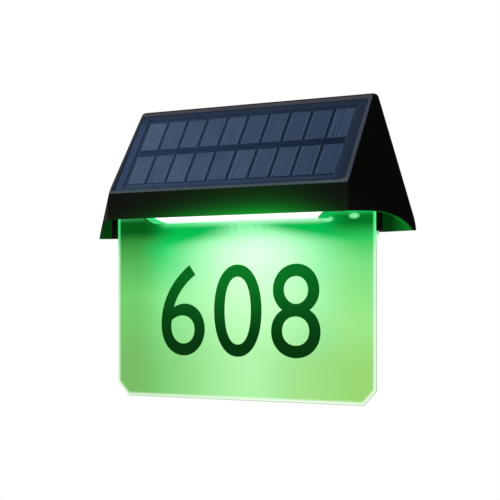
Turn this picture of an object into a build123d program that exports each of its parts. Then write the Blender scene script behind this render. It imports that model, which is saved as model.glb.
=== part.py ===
from build123d import *
import os
from math import atan2, cos, degrees, radians, sin, sqrt, tan

# Solar house-number light that hangs on a wall. Lengths in millimetres.
# X runs to the viewer's right, Y into the wall, Z up.
# The origin lies on the wall, midway between the two keyholes.

# Outer form of the roof shell
depth = 35.0  # fascia to wall
hang_height = 40.5  # keyholes above the eave, which is the fascia's lower edge
fascia_width = 166.0
fascia_height = 15.0
ridge_taper = 4.6  # ridge narrower than the fascia
ridge_height = 64.7  # above the eave
ridge_land = 5.84  # level top behind the ridge
wing_span = 225.4  # over the tips of the two flared gables, before they are rounded
wing_reach = 25.2  # tips behind the fascia
wing_drop = 10.2  # tips below the eave
crease_land = 3.6  # upper end of the gable's rear crease, behind the ridge
crease_overhang = 2.8  # and outside the ridge's end
rear_sweep = 19.3  # the wings' rear faces turn back to the wall at this angle
eave_level = 8.0  # straight start of a gable's lower edge
eave_radius = 15.0  # arc from there down to the tip
ridge_round = 2.0
fold_round = 20.0  # soft bend in each gable
crease_round = 3.0  # also round the roof's upper ends
edge_round = 1.0
wall = 2.2
fit = 0.2  # gap round pieces that seat in the shell

# Solar panel, bedded in the sloped face
panel_side_rim = 1.9  # shell left beside the panel
panel_low_rim = 2.0
panel_high_rim = 3.6
panel_corner = 1.2
cell_columns = 10
cell_rows = 2
cell_border_side = 7.5  # panel left bare round the cells
cell_border_end = 4.6
cell_gap = 2.6
row_gap = 4.4
cover_sink = 0.12  # laminate below the rim
cover_thickness = 0.8
cell_thickness = 0.3
backing_thickness = 1.0
tape_thickness = 0.6
tape_width = 5.0
panel_floor = 1.6
lead_hole_radius = 2.0

# Number plate and the bar that clamps it
plate_width = 180.0
plate_thickness = 3.0
plate_drop = 103.5  # lower edge below the eave
plate_tongue = 12.6  # upper edge above the eave
plate_corner = 8.0
plate_reach = 17.1  # front face behind the fascia
plate_edge_break = 0.3
clamp_length = 150.0
clamp_height = 7.0
clamp_thickness = 2.4
clamp_lift = 5.4  # lower edge above the eave
clamp_screw_pitch = 40.0
clamp_screw_count = 4

# Underside cover
cover_lift = 1.2  # lower face above the eave
cover_plate = 2.0
guide_width = 4.0
guide_depth = 4.1
guide_lead = 0.7  # guides start this far in front of the plate

# Lamp under the eave
lens_end_inset = 19.0  # lens ends inside the fascia's ends
lens_width = 6.6
lens_plate_gap = 2.2  # lens in front of the plate
lens_drop = 3.0  # below the eave
lens_wall = 1.2
lens_round = 2.2
flange_rim = 1.4
flange_thickness = 1.0
gasket_thickness = 0.6
lamp_board_inset = 7.0  # board ends inside the lens ends
lamp_board_ledge = 0.7  # board width that rests on the flange at each side
lamp_board_thickness = 1.2
led_count = 12
led_end_gap = 24.8  # lens length left without diodes
led_length = 3.5
led_width = 2.8
led_height = 0.7

# Case behind the plate, with the keyholes
back_half_low = 79.0  # half width at the wing tips' level
back_half_high = 69.5  # half width at its upper edge
back_top_inset = 4.7  # below the ridge
case_inset = 2.0  # case sides inside the back's lower corners
case_wall = 2.0
case_height = 13.0  # above the eave
keyhole_pitch = 80.0
keyhole_entry_radius = 4.5
keyhole_slot_width = 4.4
keyhole_slot_rise = 6.5
pocket_wall = 1.0
pocket_depth = 3.6  # room for a screw head behind a keyhole
pocket_margin = 0.8

# Screws
screw_radius = 1.25
screw_head_radius = 2.4
screw_head_height = 1.2
screw_length = 9.0
screw_play = 0.3  # radius of a clearance hole over the shank
thread_play = 0.03
boss_radius = 2.9
case_screws_high = (13.4, 46.0)  # inside the back's sloped sides, and above the eave
case_screws_low = (3.2, 24.0)
base_front_gap = 9.0  # front screws beyond the button's middle
base_front_reach = 11.0  # and behind the fascia
base_rear_inset = 16.5  # rear screws inside the wing tips
base_rear_reach = 24.2  # and behind the fascia
board_screw_shift = 9.0  # board screws beside the clamp screws on their side
clamp_screw_length = 10.6
clamp_boss_length = 4.0
board_boss_height = 8.0

# Battery, a standard 18 by 65 cell
cell_radius = 9.2
cell_length = 65.0
battery_boss_gap = 1.8  # holder beside the lower case screws' bosses
battery_reach = 22.5  # axis behind the fascia
battery_lift = 23.2  # axis above the eave
battery_play = 0.2
holder_wall = 1.5
holder_height = 19.6
contact_thickness = 0.5
contact_width = 9.0
contact_height = 12.0
contact_tab_width = 4.0
contact_tab_rise = 2.4  # above the holder
button_end_radius = 3.0
button_end_height = 1.2

# Control board, switch and push button
board_battery_gap = 9.5  # board beside the battery holder
board_margin = 4.0  # board beyond the button's middle
board_front = 6.0  # behind the fascia
board_back = 27.6
board_thickness = 1.6
button_gap_from_lens = 8.0  # button's middle beyond the lens end
button_reach = 8.5
button_drop = 0.2  # below the eave
button_radius = 3.4
button_gap = 0.3
button_rest_gap = 0.1
button_rim = 1.2
button_rim_height = 0.9
button_dome = 0.8
button_travel = 1.2
seal_thickness = 0.8
seal_outer_radius = 5.4
switch_size = 7.0
switch_spare = 0.6  # left between the pressed rim and the switch
plunger_radius = 1.5
plunger_play = 0.06
plunger_entry = 2.0  # plunger inside the switch at rest
plunger_bottoming = 0.6

# Internal leads
lead_radius = 0.6
lead_pair_pitch = 2.0
lead_bend = 4.0
lead_dive = 10.0  # panel leads run this far in from the solar face before they turn down
lamp_lead_inset = 16.0  # lamp leads inside the lens end

# Parts on the control board: middle across and behind the fascia, length, depth, height
socket_size = (6.0, 4.6, 4.5)
battery_socket_inset = 5.0  # from the board's left edge
panel_socket_x = 40.0
chip_sizes = (
    (48.4, 20.0, 5.0, 4.0, 1.6),
    (55.0, 20.5, 6.0, 6.0, 3.2),
    (64.0, 20.0, 3.2, 1.6, 1.2),
    (38.0, 15.0, 2.0, 1.2, 0.8),
    (48.0, 14.5, 2.0, 1.2, 0.8),
)
capacitor = (24.0, 14.5, 2.5, 6.0)  # middle, radius and height

# Levels and places that follow from the sizes above
front_y = -depth
eave_z = -hang_height
brow_z = eave_z + fascia_height
ridge_width = fascia_width - ridge_taper
ridge_z = eave_z + ridge_height
tip_z = eave_z - wing_drop
ridge_y = -ridge_land
slope_angle = degrees(atan2(ridge_height - fascia_height, depth - ridge_land))
crease_reach = ridge_y - front_y + crease_land
slope_length = (ridge_height - fascia_height) / sin(radians(slope_angle))
panel_recess = cover_sink + cover_thickness + cell_thickness + backing_thickness + tape_thickness
slope_wall = panel_recess + panel_floor
back_top = ridge_height - back_top_inset
panel_width = ridge_width - 2 * panel_side_rim
panel_height = slope_length - panel_low_rim - panel_high_rim
panel_up = panel_low_rim + panel_height / 2
cell_width = (panel_width - 2 * cell_border_side - (cell_columns - 1) * cell_gap) / cell_columns
cell_height = (panel_height - 2 * cell_border_end - (cell_rows - 1) * row_gap) / cell_rows
lens_length = fascia_width - 2 * lens_end_inset
lens_reach = plate_reach - lens_plate_gap - lens_width / 2
lamp_board_length = lens_length - 2 * lamp_board_inset
lamp_board_width = lens_width - 2 * lens_wall + 2 * lamp_board_ledge
lamp_lead_x = lens_length / 2 - lamp_lead_inset
led_pitch = (lens_length - led_end_gap) / led_count
button_x = lens_length / 2 + button_gap_from_lens
board_right = button_x + board_margin
case_width = 2 * (back_half_low - case_inset)
back_taper = (back_half_low - back_half_high) / (back_top + wing_drop)
case_low_x = back_half_low - back_taper * (case_screws_low[1] + wing_drop) - case_screws_low[0]
case_high_x = back_half_low - back_taper * (case_screws_high[1] + wing_drop) - case_screws_high[0]
bay_left = boss_radius + battery_boss_gap + holder_wall - case_low_x
battery_left = bay_left + contact_thickness
battery_right = battery_left + cell_length
bay_right = battery_right + contact_thickness
board_left = bay_right + holder_wall + board_battery_gap
battery_socket_x = board_left + battery_socket_inset
base_screws_front = (button_x + base_front_gap, base_front_reach)
base_screws_rear = (wing_span / 2 - base_rear_inset, base_rear_reach)
plate_y = front_y + plate_reach
plate_back_y = plate_y + plate_thickness
back_y = -wall
case_top_z = eave_z + case_height
base_low_z = eave_z + cover_lift
base_top_z = base_low_z + cover_plate
flange_low_z = base_top_z + gasket_thickness
flange_top_z = flange_low_z + flange_thickness
clamp_z = eave_z + clamp_lift + clamp_height / 2
clamp_front_y = plate_y - clamp_thickness
board_z = case_top_z + board_thickness
battery_y = front_y + battery_reach
battery_z = eave_z + battery_lift
rim_low_z = base_top_z + seal_thickness + button_rest_gap
rim_top_z = rim_low_z + button_rim_height
switch_low_z = rim_top_z + button_travel + switch_spare
low = Align.MIN
high = Align.MAX
mid = Align.CENTER


def facing_plane(y):
    return Plane.XZ.offset(-y)


def level_plane(z):
    return Plane.XY.offset(z)


def side_plane(side, *points):
    corner, second, third = [Vector(side * x, y, z) for x, y, z in points]
    normal = (second - corner).cross(third - corner)
    return Plane(origin=corner, z_dir=normal if normal.X * side > 0 else normal * -1)


def block(xs, ys, zs, mode=Mode.ADD):
    with Locations(((xs[0] + xs[1]) / 2, (ys[0] + ys[1]) / 2, (zs[0] + zs[1]) / 2)):
        Box(xs[1] - xs[0], ys[1] - ys[0], zs[1] - zs[0], mode=mode)


def both_sides(x, other):
    return [(-x, other), (x, other)]


def mirrored(x, y, z):
    return [(-x, y, z), (x, y, z)]


def nearest_edges(builder, spots):
    return [builder.edges().sort_by_distance(spot)[0] for spot in spots]


solar_plane = Plane(
    origin=(0, front_y, brow_z),
    x_dir=(1, 0, 0),
    z_dir=(0, -sin(radians(slope_angle)), cos(radians(slope_angle))),
)


def shell_form(inset):
    eave_corner = (fascia_width / 2, front_y, eave_z)
    brow_corner = (fascia_width / 2, front_y, brow_z)
    ridge_corner = (ridge_width / 2, ridge_y, ridge_z)
    tip = (wing_span / 2, front_y + wing_reach, tip_z)
    crease_top = (ridge_width / 2 + crease_overhang, front_y + crease_reach, ridge_z)
    swept = (tip[0] - depth, tip[1] + depth * tan(radians(rear_sweep)), tip_z)
    floor_z = tip_z - 2 * inset
    with BuildPart() as form:
        with BuildSketch(Plane.YZ):
            with BuildLine():
                Polyline(
                    (front_y, floor_z),
                    (front_y, brow_z),
                    (ridge_y, ridge_z),
                    (0, ridge_z),
                    (0, floor_z),
                    close=True,
                )
            make_face()
            if inset:
                offset(amount=-inset, kind=Kind.INTERSECTION, mode=Mode.REPLACE)
        extrude(amount=wing_span, both=True)
        for side in (-1, 1):
            for points in (
                (eave_corner, brow_corner, tip),
                (brow_corner, ridge_corner, tip),
                (tip, crease_top, swept),
            ):
                split(bisect_by=side_plane(side, *points).offset(-inset), keep=Keep.BOTTOM)
    return form.part


def screw_group(plane, spots, shank_length):
    with BuildPart(plane) as group:
        with Locations(*spots):
            Cylinder(screw_head_radius, screw_head_height, align=(mid, mid, low))
            Cylinder(screw_radius, shank_length, align=(mid, mid, high))
    return group


def panel_layer(sink, thickness):
    with BuildPart() as layer:
        with BuildSketch(solar_plane.offset(-sink)):
            with Locations((0, panel_up)):
                RectangleRounded(panel_width, panel_height, panel_corner)
        extrude(amount=-thickness)
    return layer


def lead(points):
    with BuildPart() as wire:
        with BuildLine() as path:
            FilletPolyline(*points, radius=lead_bend)
        with BuildSketch(Plane(origin=path.line @ 0, z_dir=path.line % 0)):
            Circle(lead_radius)
        sweep(path=path.line)
    return wire.part


wall_side = Plane(origin=(0, 0, 0), x_dir=(-1, 0, 0), z_dir=(0, 1, 0))
underside = Plane(origin=(0, 0, base_low_z), x_dir=(1, 0, 0), z_dir=(0, 0, -1))
case_spots = [
    (side * across, eave_z + up)
    for across, up in ((case_high_x, case_screws_high[1]), (case_low_x, case_screws_low[1]))
    for side in (-1, 1)
]
base_spots = [
    (side * across, front_y + back)
    for across, back in (base_screws_front, base_screws_rear)
    for side in (-1, 1)
]
underside_spots = [(x, -y) for x, y in base_spots]
clamp_spots = [
    ((i - (clamp_screw_count - 1) / 2) * clamp_screw_pitch, clamp_z)
    for i in range(clamp_screw_count)
]
board_screw_y = plate_back_y + case_wall / 2 + boss_radius
board_spots = [(x + board_screw_shift, board_screw_y) for x, z in clamp_spots[clamp_screw_count // 2 :]]
keyhole_spots = both_sides(keyhole_pitch / 2, 0)
lens_y = front_y + lens_reach
button_spot = (button_x, front_y + button_reach)
holder_top_z = battery_z + holder_height / 2
tab_top_z = holder_top_z + contact_tab_rise
tab_y = battery_y + contact_tab_width / 2
socket_top_z = board_z + socket_size[2]
panel_turn = solar_plane.from_local_coords(Vector(panel_socket_x, panel_up, -lead_dive))
eave_run = sqrt(eave_radius**2 - (eave_radius - wing_drop) ** 2)
pilot_radius = screw_radius + thread_play
shank_hole_radius = screw_radius + screw_play

os.makedirs("parts", exist_ok=True)

# Hollow of the shell, with a thicker wall under the solar panel
with BuildPart() as hollow:
    add(shell_form(wall))
    split(bisect_by=solar_plane.offset(-slope_wall), keep=Keep.BOTTOM)

# Screw bosses that grow out of the shell's walls
with BuildPart() as bosses:
    with BuildSketch(facing_plane(back_y)):
        with Locations(*case_spots):
            Circle(boss_radius)
    extrude(amount=depth)
    with BuildSketch(level_plane(base_top_z)):
        with Locations(*base_spots):
            Circle(boss_radius)
    extrude(amount=ridge_height)
    add(shell_form(wall / 2), mode=Mode.INTERSECT)

# Roof shell: solar face, fascia, flared gables, swept rear wings
with BuildPart() as housing:
    add(shell_form(0))
    fold_spots = mirrored((fascia_width + wing_span) / 4, front_y + wing_reach / 2, (brow_z + tip_z) / 2)
    fillet(nearest_edges(housing, fold_spots), fold_round)
    crease_y = front_y + (wing_reach + crease_reach) / 2
    crease_spots = mirrored((wing_span + ridge_width) / 4, crease_y, (tip_z + ridge_z) / 2)
    crease_top_y = front_y + crease_reach
    end_spots = mirrored(ridge_width / 2, (ridge_y + crease_top_y) / 2, ridge_z)
    end_spots += mirrored(ridge_width / 2 - crease_land, crease_top_y / 2, ridge_z)
    fillet(nearest_edges(housing, crease_spots + end_spots), crease_round)
    fillet(nearest_edges(housing, [(0, ridge_y, ridge_z)]), ridge_round)
    slope_x = (fascia_width + ridge_width) / 4
    rim_spots = mirrored(slope_x, (front_y + ridge_y) / 2, (brow_z + ridge_z) / 2)
    rim_spots += mirrored(fascia_width / 2, front_y, (eave_z + brow_z) / 2)
    fillet(nearest_edges(housing, rim_spots + [(0, front_y, brow_z)]), edge_round)
    add(hollow.part, mode=Mode.SUBTRACT)
    add(bosses.part)
    with BuildSketch(Plane.YZ):
        with BuildLine():
            eave = Line((front_y - wall, eave_z), (front_y + eave_level, eave_z))
            arc = TangentArc(eave @ 1, (front_y + eave_level + eave_run, tip_z), tangent=eave % 1)
            Polyline(
                arc @ 1,
                (front_y + eave_level + eave_run, tip_z - wall),
                (front_y - wall, tip_z - wall),
                eave @ 0,
            )
        make_face()
    extrude(amount=wing_span, both=True, mode=Mode.SUBTRACT)
    with BuildSketch(solar_plane):
        with Locations((0, panel_up)):
            RectangleRounded(panel_width + 2 * fit, panel_height + 2 * fit, panel_corner)
    extrude(amount=-panel_recess, mode=Mode.SUBTRACT)
    with BuildSketch(solar_plane):
        with Locations((panel_socket_x, panel_up)):
            SlotCenterToCenter(lead_pair_pitch, 2 * lead_hole_radius)
    extrude(amount=-slope_wall, mode=Mode.SUBTRACT)
    with BuildSketch(facing_plane(0)):
        with BuildLine():
            Polyline(
                (-back_half_low - fit, tip_z),
                (back_half_low + fit, tip_z),
                (back_half_high + fit, eave_z + back_top + fit),
                (-back_half_high - fit, eave_z + back_top + fit),
                close=True,
            )
        make_face()
    extrude(amount=wall, mode=Mode.SUBTRACT)
    with BuildSketch(facing_plane(back_y)):
        with Locations(*case_spots):
            Circle(pilot_radius)
    extrude(amount=screw_length, mode=Mode.SUBTRACT)
    with BuildSketch(level_plane(base_top_z)):
        with Locations(*base_spots):
            Circle(pilot_radius)
    extrude(amount=screw_length, mode=Mode.SUBTRACT)
housing.part.label = "housing"
export_step(housing.part, "parts/housing.step")

# Solar panel: clear laminate, cells, backing board and foam tape frame
solar_cover = panel_layer(cover_sink, cover_thickness)
solar_cover.part.label = "solar_cover"
export_step(solar_cover.part, "parts/solar_cover.step")

with BuildPart() as solar_cells:
    with BuildSketch(solar_plane.offset(-cover_sink - cover_thickness)):
        with Locations((0, panel_up)):
            with GridLocations(cell_width + cell_gap, cell_height + row_gap, cell_columns, cell_rows):
                Rectangle(cell_width, cell_height)
    extrude(amount=-cell_thickness)
solar_cells.part.label = "solar_cells"
export_step(solar_cells.part, "parts/solar_cells.step")

solar_backing = panel_layer(cover_sink + cover_thickness + cell_thickness, backing_thickness)
solar_backing.part.label = "solar_backing"
export_step(solar_backing.part, "parts/solar_backing.step")

with BuildPart() as panel_adhesive:
    with BuildSketch(solar_plane.offset(-panel_recess)):
        with Locations((0, panel_up)):
            RectangleRounded(panel_width, panel_height, panel_corner)
            Rectangle(panel_width - 2 * tape_width, panel_height - 2 * tape_width, mode=Mode.SUBTRACT)
    extrude(amount=tape_thickness)
panel_adhesive.part.label = "panel_adhesive"
export_step(panel_adhesive.part, "parts/panel_adhesive.step")

# Number plate with two cut corners, hung from the clamp bar
with BuildPart() as acrylic_panel:
    with BuildSketch(facing_plane(plate_y)) as plate_outline:
        with Locations((0, eave_z + (plate_tongue - plate_drop) / 2)):
            Rectangle(plate_width, plate_tongue + plate_drop)
        chamfer(plate_outline.vertices().group_by(Axis.Y)[0], plate_corner)
        with Locations(*clamp_spots):
            Circle(shank_hole_radius, mode=Mode.SUBTRACT)
    extrude(amount=-plate_thickness)
    faces_y = acrylic_panel.faces().filter_by(Axis.Y)
    chamfer(faces_y[0].outer_wire().edges() + faces_y[-1].outer_wire().edges(), plate_edge_break)
acrylic_panel.part.label = "acrylic_panel"
export_step(acrylic_panel.part, "parts/acrylic_panel.step")

with BuildPart() as plate_clamp:
    with BuildSketch(facing_plane(plate_y)):
        with Locations((0, clamp_z)):
            SlotOverall(clamp_length, clamp_height)
        with Locations(*clamp_spots):
            Circle(shank_hole_radius, mode=Mode.SUBTRACT)
    extrude(amount=clamp_thickness)
plate_clamp.part.label = "plate_clamp"
export_step(plate_clamp.part, "parts/plate_clamp.step")

clamp_screws = screw_group(facing_plane(clamp_front_y), clamp_spots, clamp_screw_length)
clamp_screws.part.label = "clamp_screws"
export_step(clamp_screws.part, "parts/clamp_screws.step")

# Case behind the plate: keyholed back, trough behind the clamp, screw bosses
with BuildPart() as rear_case:
    with BuildSketch(facing_plane(0)):
        with BuildLine():
            Polyline(
                (-back_half_low, tip_z),
                (back_half_low, tip_z),
                (back_half_high, eave_z + back_top),
                (-back_half_high, eave_z + back_top),
                close=True,
            )
        make_face()
    extrude(amount=wall)
    trough_half = case_width / 2
    block((-trough_half, trough_half), (plate_back_y, back_y), (tip_z, case_top_z))
    block(
        (case_wall - trough_half, trough_half - case_wall),
        (plate_back_y + case_wall, back_y),
        (tip_z + case_wall, case_top_z),
        mode=Mode.SUBTRACT,
    )
    with BuildSketch(facing_plane(plate_back_y + case_wall)):
        with Locations(*clamp_spots):
            Circle(boss_radius)
    extrude(amount=-clamp_boss_length)
    with BuildSketch(level_plane(case_top_z)):
        with Locations(*board_spots):
            Circle(boss_radius)
    extrude(amount=-board_boss_height)
    with BuildSketch(facing_plane(back_y)):
        with Locations(*keyhole_spots):
            with Locations((0, keyhole_slot_rise / 2)):
                SlotCenterToCenter(
                    keyhole_slot_rise,
                    2 * (keyhole_entry_radius + pocket_margin + pocket_wall),
                    rotation=90,
                )
    extrude(amount=pocket_depth + pocket_wall)
    with BuildSketch(facing_plane(back_y)):
        with Locations(*keyhole_spots):
            with Locations((0, keyhole_slot_rise / 2)):
                SlotCenterToCenter(
                    keyhole_slot_rise, 2 * (keyhole_entry_radius + pocket_margin), rotation=90
                )
    extrude(amount=pocket_depth, mode=Mode.SUBTRACT)
    with BuildSketch(facing_plane(0)):
        with Locations(*keyhole_spots):
            Circle(keyhole_entry_radius)
            with Locations((0, keyhole_slot_rise / 2)):
                SlotCenterToCenter(keyhole_slot_rise, keyhole_slot_width, rotation=90)
    extrude(amount=wall, mode=Mode.SUBTRACT)
    with Locations(wall_side):
        with Locations(*case_spots):
            CounterBoreHole(shank_hole_radius, screw_head_radius + fit, screw_head_height, wall)
    with BuildSketch(facing_plane(plate_back_y)):
        with Locations(*clamp_spots):
            Circle(pilot_radius)
    extrude(amount=-case_wall - clamp_boss_length, mode=Mode.SUBTRACT)
    with BuildSketch(level_plane(case_top_z)):
        with Locations(*board_spots):
            Circle(pilot_radius)
    extrude(amount=-board_boss_height, mode=Mode.SUBTRACT)
rear_case.part.label = "rear_case"
export_step(rear_case.part, "parts/rear_case.step")

case_screws = screw_group(wall_side.offset(-screw_head_height), case_spots, screw_length)
case_screws.part.label = "case_screws"
export_step(case_screws.part, "parts/case_screws.step")

# Underside cover with the lens window, button hole and the plate's side guides
with BuildPart() as base_cover:
    add(shell_form(wall + fit))
    block((-wing_span, wing_span), (front_y, 0), (base_low_z, base_top_z), mode=Mode.INTERSECT)
    slot_half = plate_width / 2 + fit
    block(
        (-slot_half, slot_half),
        (plate_y - fit, plate_back_y + fit),
        (base_low_z, base_top_z),
        mode=Mode.SUBTRACT,
    )
    gap_half = case_width / 2 + fit
    block((-gap_half, gap_half), (plate_back_y, 0), (base_low_z, base_top_z), mode=Mode.SUBTRACT)
    for side in (-1, 1):
        guide_xs = sorted((side * slot_half, side * (slot_half + guide_width)))
        block(guide_xs, (plate_y - guide_lead, plate_y - guide_lead + guide_depth), (tip_z, base_low_z))
    with BuildSketch(level_plane(base_low_z)):
        with Locations((0, lens_y)):
            SlotOverall(lens_length + 2 * fit, lens_width + 2 * fit)
        with Locations(button_spot):
            Circle(button_radius + button_gap)
    extrude(amount=cover_plate, mode=Mode.SUBTRACT)
    with Locations(underside):
        with Locations(*underside_spots):
            CounterBoreHole(shank_hole_radius, screw_head_radius + fit, screw_head_height, cover_plate)
base_cover.part.label = "base_cover"
export_step(base_cover.part, "parts/base_cover.step")

base_screws = screw_group(underside.offset(-screw_head_height), underside_spots, screw_length)
base_screws.part.label = "base_screws"
export_step(base_screws.part, "parts/base_screws.step")

# Lamp: diffuser lens, gasket, board and its light-emitting diodes
with BuildPart() as led_lens:
    with BuildSketch(level_plane(eave_z - lens_drop)):
        with Locations((0, lens_y)):
            SlotOverall(lens_length, lens_width)
    extrude(amount=flange_low_z - eave_z + lens_drop)
    fillet(led_lens.faces().sort_by(Axis.Z)[0].edges(), lens_round)
    with BuildSketch(level_plane(flange_low_z)):
        with Locations((0, lens_y)):
            SlotOverall(lens_length + 2 * flange_rim, lens_width + 2 * flange_rim)
    extrude(amount=flange_thickness)
    with BuildSketch(level_plane(flange_top_z)):
        with Locations((0, lens_y)):
            SlotOverall(lens_length - 2 * lens_wall, lens_width - 2 * lens_wall)
    extrude(amount=eave_z - lens_drop + lens_wall - flange_top_z, mode=Mode.SUBTRACT)
led_lens.part.label = "led_lens"
export_step(led_lens.part, "parts/led_lens.step")

with BuildPart() as lens_gasket:
    with BuildSketch(level_plane(base_top_z)):
        with Locations((0, lens_y)):
            SlotOverall(lens_length + 2 * flange_rim, lens_width + 2 * flange_rim)
            SlotOverall(lens_length + 2 * fit, lens_width + 2 * fit, mode=Mode.SUBTRACT)
    extrude(amount=gasket_thickness)
lens_gasket.part.label = "lens_gasket"
export_step(lens_gasket.part, "parts/lens_gasket.step")

with BuildPart() as led_board:
    with BuildSketch(level_plane(flange_top_z)):
        with Locations((0, lens_y)):
            SlotOverall(lamp_board_length, lamp_board_width)
    extrude(amount=lamp_board_thickness)
led_board.part.label = "led_board"
export_step(led_board.part, "parts/led_board.step")

with BuildPart() as leds:
    with BuildSketch(level_plane(flange_top_z)):
        with Locations((0, lens_y)):
            with GridLocations(led_pitch, led_width, led_count, 1):
                Rectangle(led_length, led_width)
    extrude(amount=-led_height)
leds.part.label = "leds"
export_step(leds.part, "parts/leds.step")

# Control board on the case's rim, with its parts and screws
with BuildPart() as control_board:
    block(
        (board_left, board_right),
        (front_y + board_front, front_y + board_back),
        (case_top_z, board_z),
    )
    with BuildSketch(level_plane(case_top_z)):
        with Locations(*board_spots):
            Circle(shank_hole_radius)
    extrude(amount=board_thickness, mode=Mode.SUBTRACT)
control_board.part.label = "control_board"
export_step(control_board.part, "parts/control_board.step")

with BuildPart() as board_parts:
    with Locations((battery_socket_x, tab_y, board_z), (panel_socket_x, panel_turn.Y, board_z)):
        Box(*socket_size, align=(mid, mid, low))
    for x, back, length, width, height in chip_sizes:
        with Locations((x, front_y + back, board_z)):
            Box(length, width, height, align=(mid, mid, low))
    with Locations((capacitor[0], front_y + capacitor[1], board_z)):
        Cylinder(capacitor[2], capacitor[3], align=(mid, mid, low))
board_parts.part.label = "board_parts"
export_step(board_parts.part, "parts/board_parts.step")

board_screws = screw_group(level_plane(board_z), board_spots, board_boss_height)
board_screws.part.label = "board_screws"
export_step(board_screws.part, "parts/board_screws.step")

# Switch under the board, with the plunger and cap that move together
with BuildPart() as push_switch:
    with BuildSketch(level_plane(switch_low_z)):
        with Locations(button_spot):
            Rectangle(switch_size, switch_size)
    extrude(amount=case_top_z - switch_low_z)
    with BuildSketch(level_plane(switch_low_z)):
        with Locations(button_spot):
            Circle(plunger_radius + plunger_play)
    extrude(amount=plunger_entry + button_travel + plunger_bottoming, mode=Mode.SUBTRACT)
push_switch.part.label = "push_switch"
export_step(push_switch.part, "parts/push_switch.step")

with BuildPart() as switch_plunger:
    with BuildSketch(level_plane(rim_top_z)):
        with Locations(button_spot):
            Circle(plunger_radius)
    extrude(amount=switch_low_z + plunger_entry - rim_top_z)
switch_plunger.part.label = "switch_plunger"
export_step(switch_plunger.part, "parts/switch_plunger.step")

with BuildPart() as button_cap:
    with BuildSketch(level_plane(eave_z - button_drop)):
        with Locations(button_spot):
            Circle(button_radius)
    extrude(amount=rim_low_z - eave_z + button_drop)
    fillet(button_cap.faces().sort_by(Axis.Z)[0].edges(), button_dome)
    with BuildSketch(level_plane(rim_low_z)):
        with Locations(button_spot):
            Circle(button_radius + button_rim)
    extrude(amount=button_rim_height)
button_cap.part.label = "button_cap"
export_step(button_cap.part, "parts/button_cap.step")

with BuildPart() as button_seal:
    with BuildSketch(level_plane(base_top_z)):
        with Locations(button_spot):
            Circle(seal_outer_radius)
            Circle(button_radius + button_gap, mode=Mode.SUBTRACT)
    extrude(amount=seal_thickness)
button_seal.part.label = "button_seal"
export_step(button_seal.part, "parts/button_seal.step")

# Battery in its holder on the back, with end contacts
with BuildPart() as battery:
    with BuildSketch(Plane.YZ.offset(battery_left)):
        with Locations((battery_y, battery_z)):
            Circle(cell_radius)
    extrude(amount=cell_length - button_end_height)
    with BuildSketch(Plane.YZ.offset(battery_right)):
        with Locations((battery_y, battery_z)):
            Circle(button_end_radius)
    extrude(amount=-button_end_height)
battery.part.label = "battery"
export_step(battery.part, "parts/battery.step")

with BuildPart() as battery_holder:
    block(
        (bay_left - holder_wall, bay_right + holder_wall),
        (battery_y, back_y),
        (battery_z - holder_height / 2, holder_top_z),
    )
    with BuildSketch(Plane.YZ.offset(bay_left)):
        with Locations((battery_y, battery_z)):
            Circle(cell_radius + battery_play)
        with Locations((battery_y + contact_tab_width / 2, holder_top_z)):
            Rectangle(contact_tab_width + 2 * fit, holder_height, mode=Mode.ADD)
    extrude(amount=bay_right - bay_left, mode=Mode.SUBTRACT)
battery_holder.part.label = "battery_holder"
export_step(battery_holder.part, "parts/battery_holder.step")

with BuildPart() as battery_contacts:
    for x in (bay_left, battery_right):
        with BuildSketch(Plane.YZ.offset(x)):
            with Locations((tab_y, battery_z)):
                Rectangle(contact_width, contact_height)
            with Locations((tab_y, (battery_z + tab_top_z) / 2)):
                Rectangle(contact_tab_width, tab_top_z - battery_z)
        extrude(amount=contact_thickness)
battery_contacts.part.label = "battery_contacts"
export_step(battery_contacts.part, "parts/battery_contacts.step")

# Leads from the panel, the battery and the lamp to the control board
with BuildPart() as panel_leads:
    for shift in (-lead_pair_pitch / 2, lead_pair_pitch / 2):
        across = panel_socket_x + shift
        spot = Vector(across, panel_up, tape_thickness - panel_recess)
        start = solar_plane.from_local_coords(spot)
        turn = (across, panel_turn.Y, panel_turn.Z)
        add(lead([start, turn, (across, panel_turn.Y, socket_top_z)]))
panel_leads.part.label = "panel_leads"
export_step(panel_leads.part, "parts/panel_leads.step")

tab_z = (holder_top_z + tab_top_z) / 2
hop_z = tab_top_z + 2 * lead_radius
with BuildPart() as battery_leads:
    end_x = battery_socket_x - lead_pair_pitch / 2
    add(lead([(bay_right, tab_y, tab_z), (end_x, tab_y, tab_z), (end_x, tab_y, socket_top_z)]))
    far_x = battery_socket_x + lead_pair_pitch / 2
    hop_x = battery_left + 2 * lead_bend
    points = [
        (battery_left, tab_y, tab_z),
        (hop_x, tab_y, tab_z),
        (hop_x + 2 * lead_bend, tab_y, hop_z),
        (far_x, tab_y, hop_z),
        (far_x, tab_y, socket_top_z),
    ]
    add(lead(points))
battery_leads.part.label = "battery_leads"
export_step(battery_leads.part, "parts/battery_leads.step")

with BuildPart() as lamp_leads:
    with BuildSketch(level_plane(flange_top_z + lamp_board_thickness)):
        with Locations((lamp_lead_x, lens_y)):
            with GridLocations(lead_pair_pitch, lead_pair_pitch, 2, 1):
                Circle(lead_radius)
    extrude(amount=case_top_z - flange_top_z - lamp_board_thickness)
lamp_leads.part.label = "lamp_leads"
export_step(lamp_leads.part, "parts/lamp_leads.step")
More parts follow.
